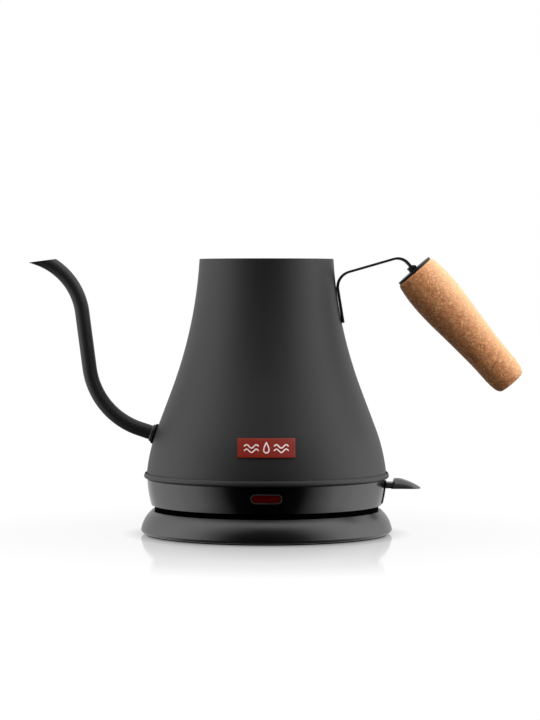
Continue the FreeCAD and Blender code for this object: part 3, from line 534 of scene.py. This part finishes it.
def add_lever():
    """Switch lever: hub and neck inside the slot, and a domed thumb pad that thins to its tip."""
    work = bmesh.new()
    stations, around = 40, 48
    rings = []
    for i in range(stations + 1):
        t = 1 - (1 - i / stations) ** 1.5
        x = PAD_HEEL_X + (PAD_TIP_X - PAD_HEEL_X) * t
        half_w, top, lean = pad_section(x, t)
        heel = min(1.0, 0.90 + t * 3.0)
        height = top - PAD_FOOT_Z
        middle = PAD_FOOT_Z + height * PAD_BELLY
        ring = []
        for k in range(around):
            angle = 2 * math.pi * k / around
            c, sn = math.cos(angle), math.sin(angle)
            y = half_w * heel * math.copysign(abs(c) ** (0.80 if sn > 0 else 0.60), c)
            reach = height * ((1 - PAD_BELLY if sn > 0 else PAD_BELLY) - 0.05 * (1 - heel))
            z = middle + reach * math.copysign(abs(sn) ** (0.92 if sn > 0 else 0.62), sn)
            x_here = min(x + lean * (z - PAD_FOOT_Z) / height, PAD_TIP_X)
            ring.append(work.verts.new(Vector((x_here, y, z)) * MM))
        rings.append(ring)
    for low, high in zip(rings, rings[1:]):
        for k in range(around):
            n = (k + 1) % around
            work.faces.new((low[k], low[n], high[n], high[k]))
    work.faces.new(rings[0])
    work.faces.new(list(reversed(rings[-1])))
    rounded_bar(work, 65.5, PAD_HEEL_X + 1.2, NECK_HALF_W, LEVER_Z - 1.5, LEVER_Z + 2.0, 0.5)
    rounded_bar(work, 51.5, 66.5, HUB_W / 2, LEVER_Z - 1.2, LEVER_Z + 1.2, 0.3)
    hub = bmesh.ops.create_cone(work, cap_ends=True, segments=40, radius1=HUB_R * MM, radius2=HUB_R * MM,
                                depth=HUB_W * MM)
    turn = Matrix.Translation(Vector((LEVER_X, 0, LEVER_Z)) * MM) @ Matrix.Rotation(math.pi / 2, 4, "X")
    bmesh.ops.transform(work, matrix=turn, verts=hub["verts"])
    for low, high in ((LEVER_Z - 2.6, LEVER_Z - 1.4), (LEVER_Z + 1.4, LEVER_Z + 2.6)):
        rounded_bar(work, 49.5, 52.8, FORK_HALF_W, low, high, 0.25)
    bmesh.ops.recalc_face_normals(work, faces=work.faces)
    mesh = bpy.data.meshes.new("lever_fine")
    work.to_mesh(mesh)
    work.free()
    smooth_by_angle(mesh, 45)
    piece = linked("lever_fine", mesh, LEVER_SATIN, "lever")
    stands_for("switch_lever")


# ---- emblem: a water drop between two pairs of ripples, drawn in one line width

def drop_outline(count=40):
    """A drop that stands on a round foot; closed."""
    points = []
    for k in range(count):
        angle = 2 * math.pi * k / count
        x = math.sin(angle) * (0.5 - 0.5 * math.cos(angle)) ** 0.72
        points.append((x * DROP_HALF_W, DROP_HALF_H * math.cos(angle) + DROP_SHIFT))
    return points


def ripple(x0, x1, z, count=64):
    """A wavy line at height z; open."""
    return [(x0 + (x1 - x0) * k / count, z + RIPPLE_HEIGHT * math.sin(2 * math.pi * RIPPLE_WAVES * k / count))
            for k in range(count + 1)]


def stroke(work, points, closed, surface_at):
    """A raised line of one width that follows the badge's curved face."""
    count = len(points)
    rails = []
    for i, (x, z) in enumerate(points):
        before = points[i - 1] if closed or i > 0 else points[i]
        after = points[(i + 1) % count] if closed or i < count - 1 else points[i]
        along = Vector((after[0] - before[0], after[1] - before[1])).normalized()
        nx, nz = -along.y * STROKE_HALF_W, along.x * STROKE_HALF_W
        row = []
        for side, lift in ((1, -0.05), (1, STROKE_LIFT * 0.8), (0.7, STROKE_LIFT), (-0.7, STROKE_LIFT),
                           (-1, STROKE_LIFT * 0.8), (-1, -0.05)):
            row.append(work.verts.new(surface_at(x + nx * side, z + nz * side, lift)))
        rails.append(row)
    pairs = list(zip(rails, rails[1:] + rails[:1])) if closed else list(zip(rails, rails[1:]))
    for a, b in pairs:
        for k in range(len(a) - 1):
            work.faces.new((a[k], a[k + 1], b[k + 1], b[k]))
    if not closed:
        work.faces.new(rails[0])
        work.faces.new(list(reversed(rails[-1])))


def add_emblem():
    """The emblem in raised white lines, cast onto the badge's face from the front."""
    badge = frame["nodes"]["badge"]
    tree = BVHTree.FromObject(badge, bpy.context.evaluated_depsgraph_get())
    inverse = badge.matrix_world.inverted()

    def surface_at(x, z, lift):
        start = inverse @ Vector((x * MM, -0.2, (BADGE_Z + z) * MM))
        toward = (inverse.to_3x3() @ Vector((0, 1, 0))).normalized()
        hit, _, _, _ = tree.ray_cast(start, toward)
        return badge.matrix_world @ hit + Vector((0, -1, 0)) * (lift * MM)

    work = bmesh.new()
    stroke(work, drop_outline(), True, surface_at)
    for side in (-1, 1):
        for z in RIPPLE_ROWS:
            stroke(work, ripple(side * RIPPLE_FROM, side * RIPPLE_TO, z), False, surface_at)
    bmesh.ops.recalc_face_normals(work, faces=work.faces)
    mesh = bpy.data.meshes.new("badge_emblem")
    work.to_mesh(mesh)
    work.free()
    smooth_by_angle(mesh, 40)
    linked("badge_emblem", mesh, BADGE_WHITE, "kettle")


def add_spout_collar():
    """Collar with rounded edges between the spout's tube and its flange."""
    lean = math.radians(SPOUT_LEAN)
    out = Vector((-math.cos(lean), 0, math.sin(lean)))
    across = Vector((0, 1, 0))
    side = across.cross(out)
    section = [(0.0, 4.36), (0.0, 5.05), (0.35, 5.25), (0.8, 5.25), (1.15, 5.0), (1.35, 4.36)]

    def place(point):
        return SPOUT_ROOT + out * point.z + side * point.x + across * point.y

    mesh = lathe_mesh("spout_collar", [(r, u) for u, r in section], 72, place)
    piece = linked("spout_collar", mesh, MATERIALS["base_plastic"], "kettle")


def add_finer_meshes():
    add_cork_grip()
    add_spout_collar()
    add_trim_bead()
    add_lever()
    add_emblem()
    for name, width in (("handle_strap", 0.35), ("handle_ferrule", 0.3), ("handle_end_cap", 0.25),
                        ("spout_flange", 0.2), ("switch_escutcheon", 0.42), ("lamp_bezel", 0.2),
                        ("badge", 0.15)):
        add_softened(name, width)


# ---------------------------------------------------------------- studio

def add_floor():
    mesh = bpy.data.meshes.new("studio_floor")
    corners = [(x * FLOOR_HALF, y * FLOOR_HALF, 0) for x, y in ((-1, -1), (1, -1), (1, 1), (-1, 1))]
    mesh.from_pydata(corners, [], [(0, 1, 2, 3)])
    floor = bpy.data.objects.new("studio_floor", mesh)
    bpy.context.collection.objects.link(floor)
    floor.data.materials.append(floor_material())
    floor.visible_glossy = False
    floor.visible_diffuse = False
    floor.visible_shadow = False


def floor_material():
    """White table that is bright by itself, with a soft reflection close round the base."""
    s = Shader("studio_floor")
    split = s.node("SeparateXYZ")
    s.feed(split, "Vector", s.place())
    x, y = split.outputs["X"], split.outputs["Y"]
    distance = s.math("SQRT", s.math("ADD", s.math("MULTIPLY", x, x), s.math("MULTIPLY", y, y)))
    near = s.span(distance, MIRROR_FROM, MIRROR_TO, 1.0, 0.0)
    fresnel = s.node("Fresnel", IOR=1.36).outputs["Fac"]
    shade = s.math("POWER", s.span(distance, SHADE_FROM, SHADE_TO), 0.45)
    white = s.node("Emission", Color=rgb(1, 1, 1))
    s.feed(white, "Strength", s.span(shade, 0.0, 1.0, 0.22, 1.02))
    gloss = s.node("BsdfGlossy", Color=rgb(1, 1, 1), Roughness=0.07)
    both = s.node("MixShader")
    s.feed(both, "Fac", s.math("MULTIPLY", fresnel, near))
    s.feed_index(both, 1, white.outputs[0])
    s.feed_index(both, 2, gloss.outputs[0])
    s.tree.links.new(both.outputs[0], s.output.inputs["Surface"])
    return s.material


def add_world():
    """Light from the sides and the top, a dark card in front of the badge, and little from below."""
    world = bpy.data.worlds.new("studio")
    world.use_nodes = True
    tree = world.node_tree
    tree.nodes.clear()
    s = Shader.__new__(Shader)
    s.material, s.tree = world, tree
    output = tree.nodes.new("ShaderNodeOutputWorld")
    direction = s.node("TexCoord").outputs["Generated"]
    split = s.node("SeparateXYZ")
    s.feed(split, "Vector", direction)
    x, y, z = (split.outputs[axis] for axis in "XYZ")
    flat = s.math("ADD", s.math("MULTIPLY", x, x), s.math("MULTIPLY", y, y))
    reach = s.math("SQRT", s.math("ADD", flat, s.math("MULTIPLY", s.math("MULTIPLY", z, z), CARD_RISE)))
    angle = s.math("ARCCOSINE", s.math("DIVIDE", s.math("MULTIPLY", y, -1.0), reach))
    side = s.span(angle, DARK_TO, BRIGHT_FROM, 0.0, SIDE_LIGHT)
    behind = s.span(angle, BEHIND_FROM, BEHIND_TO, 1.0, BEHIND_LEFT)
    below = s.span(z, -0.76, -0.42, 0.03, 1.0)
    above = s.span(z, 0.79, 0.98, 0.0, TOP_LIGHT)
    around = s.math("MULTIPLY", s.math("MAXIMUM", s.math("MULTIPLY", side, behind), above), below)
    toward = s.node("VectorMath", {"operation": "DOT_PRODUCT"})
    s.feed_index(toward, 0, direction)
    s.feed_index(toward, 1, KEY_FROM)
    key = s.span(toward.outputs["Value"], 0.70, 0.97, 0.0, KEY_LIGHT)
    path = s.node("LightPath")
    soft_key = s.math("MULTIPLY", key, path.outputs["Is Diffuse Ray"])
    rightward = s.span(x, -0.2, 1.0, 1.0, 1.0 + RIGHT_GAIN)
    lit = s.math("ADD", s.math("MULTIPLY", around, rightward), soft_key)
    strength = s.math("MAXIMUM", lit, path.outputs["Is Camera Ray"])
    background = s.node("Background", Color=rgb(1, 1, 1))
    s.feed(background, "Strength", strength)
    tree.links.new(background.outputs[0], output.inputs["Surface"])
    bpy.context.scene.world = world


def add_camera():
    data = bpy.data.cameras.new("camera")
    data.lens = CAMERA_LENS
    data.sensor_width = 36.0
    camera = bpy.data.objects.new("camera", data)
    camera.location = CAMERA_PLACE
    camera.rotation_euler = (math.radians(90) - CAMERA_PITCH, 0, 0)
    bpy.context.collection.objects.link(camera)
    bpy.context.scene.camera = camera


dress_cad_nodes()
add_finer_meshes()
add_floor()
add_world()
add_camera()
bpy.context.scene.view_settings.view_transform = "Standard"
